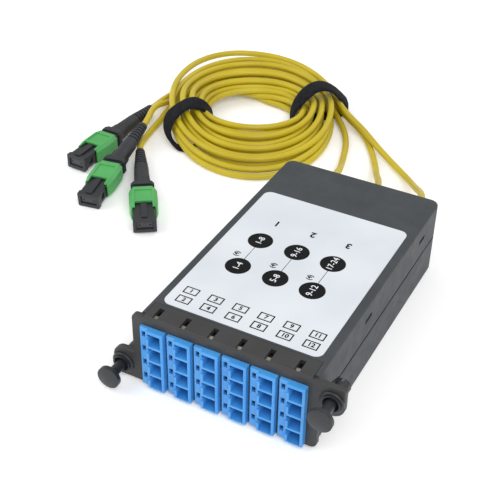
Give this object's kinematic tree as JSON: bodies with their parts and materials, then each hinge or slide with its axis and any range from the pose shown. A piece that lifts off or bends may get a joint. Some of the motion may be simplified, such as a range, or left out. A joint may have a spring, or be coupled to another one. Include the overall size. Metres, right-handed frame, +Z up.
{
  "type": "fibre optic breakout cassette",
  "caption": "Flat clamshell fibre cassette with blue adapter ports on a latched front bezel and tied trunk cables that leave the rear and end in green-sleeved multi-fibre connectors.",
  "frame": {"origin": "centre of the housing's flat underside, below the middle of the front bezel's width", "axes": "+X to the right seen from the ports, +Y to the rear where the cables leave, +Z up through the labelled cover"},
  "size_m": [0.1838, 0.2533, 0.0312],
  "materials": {
    "housing": "fine texture",
    "label": "printed satin film",
    "adapter": "satin moulded",
    "clip": "plain spring steel",
    "plug": "satin moulded",
    "black_moulding": "satin moulded",
    "fibre": "smooth",
    "gland": "matt",
    "cable": "smooth jacket",
    "strap": "hook and loop",
    "boot": "matt",
    "ferrule": "polished face",
    "green_sleeve": "satin moulded"
  },
  "bodies": {
    "cassette": {"lower_tray": "housing", "upper_cover": "housing", "front_bezel": "housing", "label_sheet": "label", "lc_adapter_1": "adapter", "lc_adapter_2": "adapter", "lc_adapter_3": "adapter", "lc_adapter_4": "adapter", "lc_adapter_5": "adapter", "lc_adapter_6": "adapter", "adapter_clip_1": "clip", "adapter_clip_2": "clip", "adapter_clip_3": "clip", "adapter_clip_4": "clip", "adapter_clip_5": "clip", "adapter_clip_6": "clip", "pigtail_plugs": "plug", "furcation_block_1": "black_moulding", "furcation_block_2": "black_moulding", "furcation_block_3": "black_moulding", "fibre_bundle_1": "fibre", "fibre_bundle_2": "fibre", "fibre_bundle_3": "fibre", "cable_gland_1": "gland", "cable_gland_2": "gland", "cable_gland_3": "gland", "latch_grommet_left": "black_moulding", "latch_grommet_right": "black_moulding", "cable_lead_1": "cable", "cable_lead_2": "cable", "cable_lead_3": "cable", "cable_coil": "cable", "cable_tail_1": "cable", "cable_tail_2": "cable", "cable_tail_3": "cable", "coil_wrap_left": "strap", "coil_wrap_right": "strap", "connector_boot_1": "boot", "connector_housing_1": "black_moulding", "connector_ferrule_1": "ferrule", "connector_boot_2": "boot", "connector_housing_2": "black_moulding", "connector_ferrule_2": "ferrule", "connector_boot_3": "boot", "connector_housing_3": "black_moulding", "connector_ferrule_3": "ferrule"},
    "latch_left": {"latch_plunger_left": "black_moulding"},
    "latch_right": {"latch_plunger_right": "black_moulding"},
    "sleeve_1": {"connector_sleeve_1": "green_sleeve"},
    "sleeve_2": {"connector_sleeve_2": "green_sleeve"},
    "sleeve_3": {"connector_sleeve_3": "green_sleeve"}
  },
  "joints": [
    {"name": "latch_left_push", "type": "slide", "parent": "cassette", "child": "latch_left", "axis": [0, 1, 0], "range_m": [0, 0.0062]},
    {"name": "latch_right_push", "type": "slide", "parent": "cassette", "child": "latch_right", "axis": [0, 1, 0], "range_m": [0, 0.0062]},
    {"name": "sleeve_1_release", "type": "slide", "parent": "cassette", "child": "sleeve_1", "axis": [0.0349, 0.9994, 0], "range_m": [0, 0.0022], "stiffness_N_per_m": 500, "springref_m": -0.002},
    {"name": "sleeve_2_release", "type": "slide", "parent": "cassette", "child": "sleeve_2", "axis": [-0.1593, 0.9834, 0.0872], "range_m": [0, 0.0022], "stiffness_N_per_m": 500, "springref_m": -0.002},
    {"name": "sleeve_3_release", "type": "slide", "parent": "cassette", "child": "sleeve_3", "axis": [-0.5693, 0.8221, 0], "range_m": [0, 0.0022], "stiffness_N_per_m": 500, "springref_m": -0.002}
  ]
}
